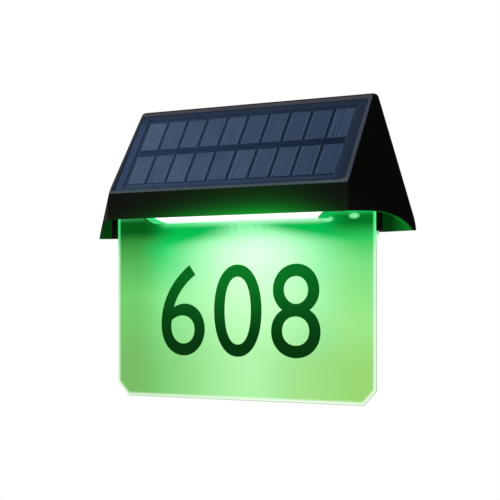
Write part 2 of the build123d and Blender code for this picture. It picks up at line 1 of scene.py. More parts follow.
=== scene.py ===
import bpy
from math import radians
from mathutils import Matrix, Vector


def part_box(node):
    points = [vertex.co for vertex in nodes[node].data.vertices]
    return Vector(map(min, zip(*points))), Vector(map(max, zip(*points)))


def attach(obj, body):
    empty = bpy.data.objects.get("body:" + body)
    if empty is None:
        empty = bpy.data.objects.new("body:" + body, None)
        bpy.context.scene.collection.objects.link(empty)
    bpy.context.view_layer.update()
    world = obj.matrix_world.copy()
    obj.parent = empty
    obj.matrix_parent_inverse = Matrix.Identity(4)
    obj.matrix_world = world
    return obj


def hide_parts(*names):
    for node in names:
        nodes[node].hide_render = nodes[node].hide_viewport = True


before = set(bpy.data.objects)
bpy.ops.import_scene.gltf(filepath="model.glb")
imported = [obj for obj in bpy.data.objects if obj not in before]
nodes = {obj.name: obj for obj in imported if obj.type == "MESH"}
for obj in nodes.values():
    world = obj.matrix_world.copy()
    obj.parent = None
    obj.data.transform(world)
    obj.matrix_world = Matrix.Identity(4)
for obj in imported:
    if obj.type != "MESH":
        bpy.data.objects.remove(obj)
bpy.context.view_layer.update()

print("frame loaded:", len(nodes), "CAD nodes")

# Levels read from the CAD nodes, in metres
mm = 0.001
housingLow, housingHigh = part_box("housing")
plateLow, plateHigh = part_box("acrylic_panel")
lensLow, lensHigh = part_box("led_lens")
cellsLow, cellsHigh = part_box("solar_cells")
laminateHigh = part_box("solar_cover")[1]
lensDrop = 3.0 * mm  # the lens hangs this far below the fascia
eaveZ = lensLow.z + lensDrop  # lower edge of the fascia


def deselectAll():
    if bpy.context.object and bpy.context.object.mode != "OBJECT":
        bpy.ops.object.mode_set(mode="OBJECT")
    bpy.ops.object.select_all(action="DESELECT")


def onlySelect(obj):
    deselectAll()
    obj.select_set(True)
    bpy.context.view_layer.objects.active = obj


def tone(red, green, blue):  # a colour as it looks on screen, 0 to 255
    def linear(value):
        value = value / 255
        return value / 12.92 if value <= 0.04045 else ((value + 0.055) / 1.055) ** 2.4
    return linear(red), linear(green), linear(blue)


# Small kit for node materials: every finish below is built from these
class Finish:
    socketNames = {
        "colour": "Base Color", "rough": "Roughness", "metal": "Metallic", "alpha": "Alpha",
        "glow": "Emission Color", "glowStrength": "Emission Strength", "ior": "IOR",
        "specular": "Specular IOR Level", "specularTint": "Specular Tint", "coat": "Coat Weight",
    }
    noiseRange = (0.3, 0.7)  # most of a noise texture lies between these
    colourInputs = (6, 7)  # of the Mix node, whose colour sockets share their names with others
    colourOutput = 2

    def __init__(self, name):
        self.material = bpy.data.materials.new(name)
        self.material.use_nodes = True
        self.tree = self.material.node_tree
        self.shader = self.tree.nodes["Principled BSDF"]
        self.coords = self.add("ShaderNodeTexCoord")

    def add(self, kind, **settings):
        node = self.tree.nodes.new(kind)
        for key, value in settings.items():
            setattr(node, key, value)
        return node

    def feed(self, socket, value):
        if isinstance(value, bpy.types.NodeSocket):
            self.tree.links.new(value, socket)
        elif isinstance(value, tuple) and len(value) == 3 and socket.type == "RGBA":
            socket.default_value = (*value, 1.0)
        else:
            socket.default_value = value

    def math(self, operation, first, second=0.0):
        node = self.add("ShaderNodeMath", operation=operation)
        self.feed(node.inputs[0], first)
        self.feed(node.inputs[1], second)
        return node.outputs[0]

    def plus(self, first, second):
        return self.math("ADD", first, second)

    def minus(self, first, second):
        return self.math("SUBTRACT", first, second)

    def over(self, first, second):
        return self.math("DIVIDE", first, second)

    def size(self, value):
        return self.math("ABSOLUTE", value)

    def lower(self, first, second):
        return self.math("MINIMUM", first, second)

    def isBelow(self, value, limit):
        return self.math("LESS_THAN", value, limit)

    def isAbove(self, value, limit):
        return self.math("GREATER_THAN", value, limit)

    def times(self, *values):
        total = values[0]
        for value in values[1:]:
            total = self.math("MULTIPLY", total, value)
        return total

    def highest(self, *values):
        total = values[0]
        for value in values[1:]:
            total = self.math("MAXIMUM", total, value)
        return total

    def axes(self, wanted="xyz", source="Object"):
        split = self.add("ShaderNodeSeparateXYZ")
        self.feed(split.inputs[0], self.coords.outputs[source])
        return [split.outputs["xyz".index(axis)] for axis in wanted]

    def noise(self, scale, detail=3.0, stretch=(1.0, 1.0, 1.0)):
        mapping = self.add("ShaderNodeMapping")
        mapping.inputs["Scale"].default_value = stretch
        self.feed(mapping.inputs["Vector"], self.coords.outputs["Object"])
        node = self.add("ShaderNodeTexNoise")
        node.inputs["Scale"].default_value = scale
        node.inputs["Detail"].default_value = detail
        self.feed(node.inputs["Vector"], mapping.outputs["Vector"])
        return node.outputs["Fac"]

    def fade(self, value, start, end, fromValue=0.0, toValue=1.0, kind="SMOOTHSTEP"):
        node = self.add("ShaderNodeMapRange", interpolation_type=kind)
        for key, number in (("Value", value), ("From Min", start), ("From Max", end),
                            ("To Min", fromValue), ("To Max", toValue)):
            self.feed(node.inputs[key], number)
        return node.outputs["Result"]

    def spread(self, noise, low, high, kind="SMOOTHSTEP"):
        return self.fade(noise, *self.noiseRange, low, high, kind)

    def bell(self, value, width):
        share = self.over(value, width)
        return self.math("EXPONENT", self.times(share, share, -1.0))

    def ramp(self, value, stops):
        node = self.add("ShaderNodeValToRGB")
        elements = node.color_ramp.elements
        while len(elements) < len(stops):
            elements.new(0.5)
        for element, (place, colour) in zip(elements, stops):
            element.position = place
            element.color = (*colour, 1.0)
        self.feed(node.inputs["Fac"], value)
        return node.outputs["Color"]

    def mix(self, factor, first, second):
        node = self.add("ShaderNodeMix", data_type="RGBA")
        self.feed(node.inputs["Factor"], factor)
        for index, colour in zip(self.colourInputs, (first, second)):
            self.feed(node.inputs[index], colour)
        return node.outputs[self.colourOutput]

    def bump(self, height, strength, distance):
        node = self.add("ShaderNodeBump")
        node.inputs["Strength"].default_value = strength
        node.inputs["Distance"].default_value = distance
        self.feed(node.inputs["Height"], height)
        self.feed(self.shader.inputs["Normal"], node.outputs["Normal"])

    def set(self, **sockets):
        for key, value in sockets.items():
            self.feed(self.shader.inputs[self.socketNames[key]], value)

    def paint(self, *pieces):
        for piece in pieces:
            mesh = nodes[piece].data if isinstance(piece, str) else piece.data
            mesh.materials.clear()
            mesh.materials.append(self.material)


# Plain surface: soft clouds in its colour, and a fine grain
plainLook = {
    "cloudScale": 60.0,
    "variation": 0.25,  # its clouds are this much darker
    "grain": 900.0,
    "grainDetail": 2.0,
    "grainHeight": 0.02 * mm,
    "grainStrength": 0.4,
    "smoother": 0.06,  # the grain varies its roughness from less to more
    "rougher": 0.08,
}


def plainFinish(name, colour, rough, variation=plainLook["variation"], grain=plainLook["grain"],
                grainHeight=plainLook["grainHeight"], **more):
    look = plainLook
    finish = Finish(name)
    cloud = finish.noise(look["cloudScale"])
    fine = finish.noise(grain, look["grainDetail"])
    darker = tuple(channel * (1 - variation) for channel in colour)
    finish.set(colour=finish.mix(cloud, darker, colour),
               rough=finish.spread(fine, rough - look["smoother"], rough + look["rougher"], "LINEAR"),
               **more)
    finish.bump(fine, look["grainStrength"], grainHeight)
    return finish


# Moulded black plastic. The rim round the solar face is paler with a painted sheen, front faces are painted
# lighter and back faces carry a painted sheen, and the lamp's green light is painted as glow over the
# fascia's lower edge and into the wings. Pairs given for parts of a face's normal say where an effect starts
# and where it is full.
shellLook = {
    "black": tone(2, 3, 2),
    "cloudyAndLit": tone(13, 14, 11),
    "cloudScale": 35.0,
    "cloudShare": 0.2,
    "litFront": (-0.6, -0.95),  # faces that look to the front are painted lighter, as if lit from the front
    "litFrontShare": 0.8,
    "rearward": (0.4, 0.8),  # the back, towards the wall, painted lighter as a sheen
    "rearSheenLow": tone(44, 44, 46),
    "rearSheenHigh": tone(58, 58, 60),
    "rough": 0.62,
    "smoother": 0.05,
    "rougher": 0.09,
    "specular": 0.010,
    "grain": 1500.0,
    "grainDetail": 2.0,
    "grainHeight": 0.03 * mm,
    "grainStrength": 0.35,
    "sheenTilt": (0.12, 0.44),  # a painted sheen lies on faces that tilt up,
    "sheenLevel": (0.54, 0.70),  # but not on level ones,
    "sheenForward": (-0.45, -0.75),
    "sheenSideways": (0.5, 0.25),  # nor on those that look sideways
    "dustAndSheenPatches": (0.25, 0.75),
    "sheenThin": 0.75,
    # painted sheen on the rim, paler on the right
    "sheenLeft": tone(46, 49, 57),
    "sheenRight": tone(58, 63, 74),
    "sheenHigh": tone(58, 60, 67),  # along the ridge
    "sheenLow": tone(62, 73, 78),  # along the fascia
    "sheenBands": (4.0 * mm, 2.0 * mm),  # those two start and are full this far from the slope's ends
    "shadeLeft": tone(28, 36, 51),  # painted shade on the rim's inner part, beside the panel
    "shadeRight": tone(27, 36, 49),
    "rimWidths": (1.5 * mm, 2.7 * mm),  # part of the rim under the painted sheen, left and right
    "rimSoft": (0.75, 1.25),  # it ends between these shares of its width
    "slopeLow": -25.5 * mm,
    "slopeHalves": (83.0 * mm, 80.7 * mm),  # half the slope's width, at its foot and at the ridge
    "ridgeLand": 1.0 * mm,
    # painted green light from the lamp on the fascia's lower edge
    "spill": tone(20, 255, 75),
    "spillFaces": (-0.9, -0.97),
    "spillStrength": 0.30,
    "spillHeight": 3.9 * mm,
    "veil": 0.01,  # faint painted green light over the whole fascia
    "spillCentre": 26.0 * mm,
    "spillLeft": 54.0 * mm,
    "spillRight": 32.0 * mm,
    # painted green light from the lamp inside the wings and on their lower cut edges
    "wingGlow": 0.17,
    "wingTop": 3.0 * mm,  # the wings are lit up to here above the eave,
    "wingFront": -34.0 * mm,  # behind here,
    "wingReach": (89.0 * mm, 106.0 * mm),  # and more towards their tips
    "wingNear": 0.2,
    "wingInward": (-0.12, -0.4),
    "wingForward": (-0.4, -0.7),
    "wingOutward": (0.3, 0.1),
    "seam": (-2.2 * mm, -2.6 * mm),  # no light comes through the seam at the back
    "edgeGlow": 0.075,
    "edgeFaces": (-0.3, -0.7),
    "edgeDepth": (-8.0 * mm, -20.0 * mm),
    "farWing": 0.25,  # the left wing gets less of the light
    "caseTone": tone(34, 34, 36),
    "caseRough": 0.5,
    "caseSpecular": 0.2,
}


# Painted sheen on the rim round the solar face; its inner part beside the panel gets painted shade
def rimSheenTone(finish, x, z):
    look = shellLook
    side = finish.fade(x, housingLow.x, housingHigh.x, kind="LINEAR")
    sheenColour = finish.mix(side, look["sheenLeft"], look["sheenRight"])
    lowest, highest = look["slopeLow"], housingHigh.z
    sheenColour = finish.mix(finish.fade(z, *(highest - reach for reach in look["sheenBands"])),
                       sheenColour, look["sheenHigh"])
    sheenColour = finish.mix(finish.fade(z, *(lowest + reach for reach in look["sheenBands"])),
                       sheenColour, look["sheenLow"])
    slopeEdge = finish.fade(z, lowest, highest, *look["slopeHalves"], "LINEAR")
    fromEnds = finish.lower(finish.minus(highest - look["ridgeLand"], z), finish.minus(z, lowest))
    fromEdge = finish.lower(finish.minus(slopeEdge, finish.size(x)), fromEnds)
    rimWidth = finish.fade(side, 0.0, 1.0, *look["rimWidths"], "LINEAR")
    shade = finish.mix(side, look["shadeLeft"], look["shadeRight"])
    return finish.mix(finish.fade(finish.over(fromEdge, rimWidth), *look["rimSoft"]), sheenColour, shade)


def blackShell(name):
    look = shellLook
    finish = Finish(name)
    x, z = finish.axes("xz")
    nx, ny, nz = finish.axes(source="Normal")
    cloud = finish.noise(look["cloudScale"])
    fine = finish.noise(look["grain"], look["grainDetail"])
    # faces that look to the front are painted lighter, as if lit from there; the clouds are the plastic's
    # own
    litFront = finish.fade(ny, *look["litFront"], 0.0, look["litFrontShare"])
    body = finish.mix(finish.plus(litFront, finish.times(cloud, look["cloudShare"])),
                      look["black"], look["cloudyAndLit"])
    # the back is painted lighter as a sheen
    rear = finish.mix(cloud, look["rearSheenLow"], look["rearSheenHigh"])
    body = finish.mix(finish.fade(ny, *look["rearward"]), body, rear)
    # painted sheen on faces that tilt up, thinned in patches
    dustAndSheen = finish.times(finish.fade(nz, *look["sheenTilt"]),
                        finish.fade(nz, *look["sheenLevel"], 1.0, 0.0),
                        finish.fade(ny, *look["sheenForward"]),
                        finish.fade(finish.size(nx), *look["sheenSideways"]),
                        finish.fade(cloud, *look["dustAndSheenPatches"], look["sheenThin"], 1.0, "LINEAR"))
    finish.set(colour=finish.mix(dustAndSheen, body, rimSheenTone(finish, x, z)), specular=look["specular"],
               rough=finish.spread(fine, look["rough"] - look["smoother"], look["rough"] + look["rougher"]))
    finish.bump(fine, look["grainStrength"], look["grainHeight"])
    return finish


def litShell():
    look = shellLook
    finish = blackShell("satinBlackShell")
    x, y, z = finish.axes()
    nx, ny, nz = finish.axes(source="Normal")
    # the lamp's light on the fascia, painted as glow
    fall = finish.math("EXPONENT", finish.over(finish.minus(z, eaveZ), -look["spillHeight"]))
    fall = finish.plus(finish.times(fall, look["spillStrength"]), look["veil"])
    away = finish.minus(x, look["spillCentre"])
    width = finish.fade(away, -mm, mm, look["spillLeft"], look["spillRight"])
    front = finish.times(fall, finish.bell(away, width), finish.fade(ny, *look["spillFaces"]),
                         finish.isBelow(y, housingLow.y + mm))
    # painted green light inside the wings and on their lower edges
    inWing = finish.times(finish.isBelow(z, eaveZ + look["wingTop"]), finish.isAbove(y, look["wingFront"]),
                          finish.fade(x, -mm, mm, look["farWing"], 1.0))
    outward = finish.times(finish.math("SIGN", x), nx)
    inward = finish.times(finish.fade(outward, *look["wingInward"]), finish.fade(y, *look["seam"]))
    facing = finish.times(finish.fade(ny, *look["wingForward"]), finish.fade(outward, *look["wingOutward"]))
    wing = finish.times(finish.highest(inward, facing), inWing,
                        finish.fade(finish.size(x), *look["wingReach"], look["wingNear"], 1.0),
                        look["wingGlow"])
    edge = finish.times(finish.fade(nz, *look["edgeFaces"]), inWing, finish.fade(y, *look["edgeDepth"]),
                        look["edgeGlow"])
    finish.set(glow=look["spill"], glowStrength=finish.highest(front, wing, edge))
    return finish


litShell().paint("housing")
caseFinish = plainFinish("satinBlackCase", shellLook["caseTone"], shellLook["caseRough"],
                         grain=shellLook["grain"], grainHeight=shellLook["grainHeight"],
                         specular=shellLook["caseSpecular"])
caseFinish.paint("rear_case")
print("housing finish done")

# Underside cover: black, with painted green light from the lamp round the lens
coverLook = {
    "paintedLampLight": tone(10, 255, 70),
    "strength": 0.16,
    "reach": 22.0 * mm,
    "faint": 0.04,
    # painted green light on the guides beside the plate
    "guideGlow": 0.035,
    "guideFaces": (0.5, 0.9),
}


def coverFinish():
    look = coverLook
    finish = blackShell("satinBlackCover")
    x, z = finish.axes("xz")
    nx = finish.axes("x", "Normal")[0]
    # painted lamp light, fading away from the lens's ends
    away = finish.minus(finish.size(x), lensHigh.x)
    paintedLampLight = finish.fade(away, -look["reach"], look["reach"], 1.0, look["faint"])
    guide = finish.times(finish.isBelow(z, eaveZ), finish.fade(nx, *look["guideFaces"]))
    finish.set(glow=look["paintedLampLight"],
               glowStrength=finish.highest(finish.times(paintedLampLight, finish.isAbove(z, eaveZ), look["strength"]),
                                           finish.times(guide, look["guideGlow"])))
    return finish


coverFinish().paint("base_cover")

# Solar panel: clear laminate, blue cells with fine lines up the slope, navy board; cells, print and board
# are painted lighter on the left
solarLook = {
    "columns": 10,
    "gap": 2.6 * mm,
    # painted light: the cells are lighter on the left
    "cellLeft": tone(67, 83, 107),
    "cellRight": tone(35, 50, 73),
    "cellDeep": tone(38, 52, 73),
    "tintShare": 0.35,  # how much the cells differ, and how cloudy they are
    "cloudShare": 0.5,
    "cloudScale": 90.0,
    "streakScale": 900.0,
    "streakStretch": (1.0, 0.03, 0.03),
    "edge": tone(92, 116, 142),
    "edgePlace": (0.445, 0.485),  # from a cell's middle, in shares of its width
    "edgeShare": 0.4,
    "linePitch": 1.5 * mm,
    "lineWidth": (0.26, 0.08),  # in shares of the pitch
    "lineCells": (0.35, 1.0),  # the lines are clearer on some cells
    "lineClear": (0.1, 0.4),
    "lineBreaks": (0.3, 0.6),
    "cellRough": (0.34, 0.5),
    "cellSpecular": 0.02,
    "laminate": tone(50, 64, 88),
    "laminateRough": (0.12, 0.26),
    "laminateIor": 1.45,
    "laminateSpecular": 0.006,
    "dustScale": 140.0,
    "dustDetail": 5.0,
    "dustAndSheenPatches": (0.35, 0.75),
    "dustAlpha": (0.02, 0.07),
    "smearScale": 22.0,
    "smearDetail": 2.0,
    "smearHeight": 0.2 * mm,
    "smearStrength": 0.08,
    "inkLeft": tone(43, 58, 80),  # print round the cells, painted lighter on the left
    "inkRight": tone(28, 38, 52),
    "inkHigh": tone(28, 37, 49),  # darker towards the ridge
    "inkHighFrom": (-2.0 * mm, 1.0 * mm),
    "inkHighShare": 0.6,
    "sealed": (0.3 * mm, 3.4 * mm),  # the print starts and is full this far beyond the cells
    # painted light: the board is lighter on the left
    "boardLeft": tone(30, 47, 69),
    "boardRight": tone(12, 22, 38),
    "borderLeft": tone(54, 72, 98),  # the board round the cells, under the print, painted lighter against the print's shadow and lighter on the left
    "borderRight": tone(29, 41, 57),
    "borderFrom": (0.0, 0.8 * mm),
    "speckScale": 700.0,
    "speckPatches": (0.35, 0.8),
    "speckShare": 0.6,
    "speckDark": 0.5,
    "speckHeight": 0.02 * mm,
    "speckStrength": 0.15,
    "boardRough": (0.38, 0.5),
    "boardSpecular": 0.01,
}


def cellFinish():
    look = solarLook
    finish = Finish("siliconCells")
    x, z = finish.axes("xz")
    pitch = (cellsHigh.x - cellsLow.x + look["gap"]) / look["columns"]
    place = finish.over(finish.minus(x, cellsLow.x), pitch)
    inCell = finish.over(finish.math("FRACT", place), 1 - look["gap"] / pitch)
    cellNumber = finish.add("ShaderNodeCombineXYZ")
    finish.feed(cellNumber.inputs[0], finish.math("FLOOR", place))
    finish.feed(cellNumber.inputs[1], finish.isAbove(z, (cellsLow.z + cellsHigh.z) / 2))
    tintNode = finish.add("ShaderNodeTexWhiteNoise", noise_dimensions="2D")
    finish.feed(tintNode.inputs["Vector"], cellNumber.outputs[0])
    tint = tintNode.outputs["Value"]
    cloud = finish.noise(look["cloudScale"])
    streak = finish.noise(look["streakScale"], stretch=look["streakStretch"])
    # painted light: lighter on the left
    side = finish.fade(x, cellsLow.x, cellsHigh.x, kind="LINEAR")
    deep = finish.plus(finish.times(tint, look["tintShare"]), finish.times(cloud, look["cloudShare"]))
    silicon = finish.mix(deep, finish.mix(side, look["cellLeft"], look["cellRight"]), look["cellDeep"])
    phase = finish.math("FRACT", finish.over(x, look["linePitch"]))
    line = finish.times(finish.fade(finish.size(finish.minus(phase, 0.5)), *look["lineWidth"]),
                        finish.fade(streak, *look["lineBreaks"]),
                        finish.fade(tint, *look["lineCells"], *look["lineClear"]))
    border = finish.times(finish.fade(finish.size(finish.minus(inCell, 0.5)), *look["edgePlace"]),
                          look["edgeShare"])
    finish.set(colour=finish.mix(finish.highest(line, border), silicon, look["edge"]),
               rough=finish.spread(streak, *look["cellRough"]), specular=look["cellSpecular"])
    return finish


def beyondCells(finish, reaches):
    x, z = finish.axes("xz")
    tall = finish.size(finish.minus(z, (cellsLow.z + cellsHigh.z) / 2))
    halfTall = (cellsHigh.z - cellsLow.z) / 2
    return finish.highest(finish.fade(finish.size(x), *(cellsHigh.x + reach for reach in reaches)),
                          finish.fade(tall, *(halfTall + reach for reach in reaches)))


def laminateFinish():
    look = solarLook
    finish = Finish("clearLaminate")
    x, z = finish.axes("xz")
    dustAndSheen = finish.noise(look["dustScale"], look["dustDetail"])
    smear = finish.noise(look["smearScale"], look["smearDetail"])
    sealed = beyondCells(finish, look["sealed"])
    # painted light: the print is lighter on the left
    side = finish.fade(x, -laminateHigh.x, laminateHigh.x, kind="LINEAR")
    high = finish.fade(z, *(cellsHigh.z + reach for reach in look["inkHighFrom"]))
    ink = finish.mix(finish.times(high, look["inkHighShare"]),
                     finish.mix(side, look["inkLeft"], look["inkRight"]), look["inkHigh"])
    finish.set(colour=finish.mix(sealed, look["laminate"], ink),
               rough=finish.spread(smear, *look["laminateRough"]),
               ior=look["laminateIor"], specular=look["laminateSpecular"],
               alpha=finish.highest(sealed, finish.fade(dustAndSheen, *look["dustAndSheenPatches"], *look["dustAlpha"])))
    finish.bump(smear, look["smearStrength"], look["smearHeight"])
    return finish


def boardFinish():
    look = solarLook
    finish = Finish("navyBoard")
    # painted light: lighter on the left
    side = finish.fade(finish.axes("x")[0], cellsLow.x, cellsHigh.x, kind="LINEAR")
    fine = finish.noise(look["speckScale"])
    # the board round the cells is painted lighter against the print's shadow
    base = finish.mix(beyondCells(finish, look["borderFrom"]),
                      finish.mix(side, look["boardLeft"], look["boardRight"]),
                      finish.mix(side, look["borderLeft"], look["borderRight"]))
    darker = finish.mix(look["speckDark"], base, (0.0, 0.0, 0.0))
    specks = finish.fade(fine, *look["speckPatches"], 0.0, look["speckShare"])
    finish.set(colour=finish.mix(specks, base, darker),
               rough=finish.spread(fine, *look["boardRough"]), specular=look["boardSpecular"])
    finish.bump(fine, look["speckStrength"], look["speckHeight"])
    return finish


cellFinish().paint("solar_cells")
laminateFinish().paint("solar_cover")
boardFinish().paint("solar_backing")
print("solar panel finishes done")


def acrossAndDrop(finish):  # mm from the object's middle, and mm down from the eave
    x, z = finish.axes("xz")
    return finish.times(x, 1 / mm), finish.times(finish.minus(eaveZ, z), 1 / mm)


# Frosted acrylic. Its glow is painted light from the lamp at its top: whitest under the middle of the lens,
# vivid green round that, painted shade in front of the case, and bright along its cut edges.
# Its places are in mm, across from the middle and down from the eave.
plateLook = {
    "rampStart": -2.0,  # the tones below follow the drop, from here on
    "rampLength": 107.0,
    "left": [(7.5, tone(0, 90, 20)), (13, tone(52, 145, 60)), (25, tone(83, 179, 83)),
             (45, tone(114, 206, 109)), (81, tone(119, 188, 100))],
    "right": [(5.5, tone(0, 116, 34)), (14, tone(46, 200, 90)), (27, tone(122, 225, 126)),
              (60, tone(156, 232, 137)), (82, tone(154, 215, 116))],
    "vivid": [(9, tone(0, 186, 79)), (13, tone(2, 198, 90)), (20, tone(36, 216, 110)),
              (45, tone(140, 236, 148)), (85, tone(128, 208, 116))],
    "middle": [(5, tone(136, 250, 174)), (14, tone(214, 288, 226)), (22, tone(231, 288, 236)),
               (45, tone(207, 266, 205)), (75, tone(180, 246, 172))],  # green is full before white
    "rim": [(4, tone(84, 250, 140)), (12, tone(128, 246, 166)), (22, tone(212, 250, 218)),
            (100, tone(236, 254, 230))],
    "leftToRight": (-60.0, 60.0),
    "eaveLeft": tone(44, 138, 74),  # the painted lit strip along the plate's top
    "eaveRight": tone(26, 184, 86),
    "eaveDrop": (1.8, -0.6),
    "centre": (5.0, 11.0),  # middle of the white glow, at the top and further down
    "centreDrop": (5.0, 11.0),
    "coreReach": (24.0, 74.0),  # half its width there
    "coreDrop": (3.0, 18.0),
    "west": (-70.0, -42.0),  # the vivid green starts and is full, from the left
    "westShift": 7.0,  # it starts further left lower down
    "westDrop": (8.0, 16.0),
    "east": (50.0, 74.0),
    "warmDrop": (66.0, 88.0),  # a yellower painted patch at the lower right, where the painted glow is weaker
    "warmAcross": (5.0, 45.0),
    "warmShare": 0.45,
    "hazeScale": 11.0,
    "hazeDetail": 4.0,
    "hazeStretch": (0.7, 1.0, 1.6),
    "hazePatches": (0.25, 0.75),
    "hazeShare": (0.93, 1.05),
    "brushScale": 420.0,  # fine upright streaks under the lens
    "brushStretch": (1.0, 1.0, 0.07),
    "brushShare": (-0.22, 0.16),
    "brushDrop": (14.0, 7.0),
    "brushReach": 50.0,
    "band": tone(170, 247, 194),  # painted reflection of the lens in the plate, just under it
    "bandFar": tone(80, 228, 132),
    "bandFarToNear": (-52.0, 4.0),
    "bandHalf": (52.0, 60.0),
    "bandDrop": (6.0, 2.8),
    "bandShare": 0.95,
    "spots": [(59.0, 3.2, 3.6, 1.5), (76.0, 1.8, 3.2, 1.5)],  # painted reflections of the lens's right end and of the button: across, down, half width, half height
    "spotTone": tone(136, 252, 170),
    "spotSoft": 1.8,
    "spotShare": 0.9,
    "corner": 8.0,
    "cornerLean": 1.4,  # the cut corners run at 45 degrees
    "rimWidth": (2.8, 0.9),
    "rimLeft": 0.78,
    # a thin painted shade line along the plate's outer edges
    "outline": tone(146, 172, 138),
    "outlineWidth": (0.6, 0.1),
    "outlineDrop": (12.0, 20.0),
    "outlineFrom": (-82.5, -80.5),
    # the cut faces: painted shade near the top, painted light lower down
    "cutFaces": (0.85, 0.3),
    "cutEdge": tone(244, 255, 245),
    "cutShade": tone(60, 140, 85),
    "cutDrop": (8.0, 15.0),
    "body": (0.002, 0.008, 0.003),
    "tint": tone(60, 255, 150),
    "ior": 1.49,
    "specular": 0.03,
    "rough": (0.13, 0.21),
    "frostScale": 2600.0,
    "frostDetail": 2.0,
    "frostHeight": 0.01 * mm,
    "frostStrength": 0.06,
}


def plateTone(finish, drop, name):
    start, length = plateLook["rampStart"], plateLook["rampLength"]
    stops = [((place - start) / length, colour) for place, colour in plateLook[name]]
    return finish.ramp(finish.over(finish.minus(drop, start), length), stops)


# Painted glow of the lamp's light in the plate
def plateGlow(finish, across, drop):
    look = plateLook
    rightward = finish.fade(across, *look["leftToRight"])
    side = finish.mix(rightward, plateTone(finish, drop, "left"), plateTone(finish, drop, "right"))
    eave = finish.mix(rightward, look["eaveLeft"], look["eaveRight"])
    side = finish.mix(finish.fade(drop, *look["eaveDrop"]), side, eave)
    shifted = finish.plus(across, finish.fade(drop, *look["westDrop"], 0.0, look["westShift"]))
    broad = finish.times(finish.fade(shifted, *look["west"]), finish.fade(across, *look["east"], 1.0, 0.0))
    centre = finish.fade(drop, *look["centreDrop"], *look["centre"])
    away = finish.size(finish.minus(across, centre))
    reach = finish.fade(drop, *look["coreDrop"], *look["coreReach"])
    haze = finish.noise(look["hazeScale"], look["hazeDetail"], look["hazeStretch"])
    brush = finish.noise(look["brushScale"], stretch=look["brushStretch"])
    brushed = finish.times(finish.spread(brush, *look["brushShare"], "LINEAR"),
                           finish.fade(drop, *look["brushDrop"]), finish.bell(away, look["brushReach"]))
    warm = finish.times(finish.fade(drop, *look["warmDrop"]), finish.fade(across, *look["warmAcross"]))
    broad = finish.times(broad, finish.minus(1.0, warm))
    core = finish.times(finish.fade(finish.over(away, reach), 0.0, 1.0, 1.0, 0.0),
                        finish.fade(haze, *look["hazePatches"], *look["hazeShare"], "LINEAR"),
                        finish.plus(brushed, 1.0),
                        finish.minus(1.0, finish.times(warm, look["warmShare"])))
    lit = finish.mix(broad, side, plateTone(finish, drop, "vivid"))
    return finish.mix(core, lit, plateTone(finish, drop, "middle"))


# Painted reflections of the lens and of two bright spots in the plate
def plateMirror(finish, across, drop, lit):
    look = plateLook
    band = finish.times(finish.fade(drop, *look["bandDrop"]),
                        finish.fade(finish.size(across), *look["bandHalf"], look["bandShare"], 0.0))
    bandTone = finish.mix(finish.fade(across, *look["bandFarToNear"]), look["bandFar"], look["band"])
    lit = finish.mix(band, lit, bandTone)
    for spotX, spotDrop, halfWidth, halfHeight in look["spots"]:
        far = finish.over(finish.minus(across, spotX), halfWidth)
        low = finish.over(finish.minus(drop, spotDrop), halfHeight)
        spread = finish.plus(finish.times(far, far), finish.times(low, low))
        lit = finish.mix(finish.fade(spread, 0.0, look["spotSoft"], look["spotShare"], 0.0),
                         lit, look["spotTone"])
    return lit


# Painted light along the plate's cut edges, a painted shade line round it and painted tones on its cut faces
def plateEdges(finish, across, drop, lit):
    look = plateLook
    wide = finish.size(across)
    halfWide = plateHigh.x / mm
    deepest = (eaveZ - plateLow.z) / mm
    fromCorner = finish.minus(halfWide + deepest - look["corner"], finish.plus(wide, drop))

    def nearEdge(widths):
        return finish.highest(finish.fade(wide, *(halfWide - width for width in widths)),
                              finish.fade(drop, *(deepest - width for width in widths)),
                              finish.fade(fromCorner, *(look["cornerLean"] * width for width in widths)))

    rimShare = finish.fade(across, *look["leftToRight"], look["rimLeft"], 1.0)
    lit = finish.mix(finish.times(nearEdge(look["rimWidth"]), rimShare), lit, plateTone(finish, drop, "rim"))
    outline = finish.times(nearEdge(look["outlineWidth"]), finish.fade(drop, *look["outlineDrop"]),
                           finish.fade(across, *look["outlineFrom"]))
    lit = finish.mix(outline, lit, look["outline"])
    cut = finish.fade(finish.size(finish.axes("y", "Normal")[0]), *look["cutFaces"])
    cutTone = finish.mix(finish.fade(drop, *look["cutDrop"]), look["cutShade"], look["cutEdge"])
    return finish.mix(cut, lit, cutTone)


def acrylicFinish():
    look = plateLook
    finish = Finish("frostedAcrylic")
    across, drop = acrossAndDrop(finish)
    lit = plateGlow(finish, across, drop)
    lit = plateMirror(finish, across, drop, lit)
    lit = plateEdges(finish, across, drop, lit)
    frost = finish.noise(look["frostScale"], look["frostDetail"])
    finish.set(colour=look["body"], glow=lit, glowStrength=1.0, ior=look["ior"],
               specular=look["specular"], specularTint=look["tint"],
               rough=finish.spread(frost, *look["rough"], "LINEAR"))
    finish.bump(frost, look["frostStrength"], look["frostHeight"])
    return finish


acrylicFinish().paint("acrylic_panel")

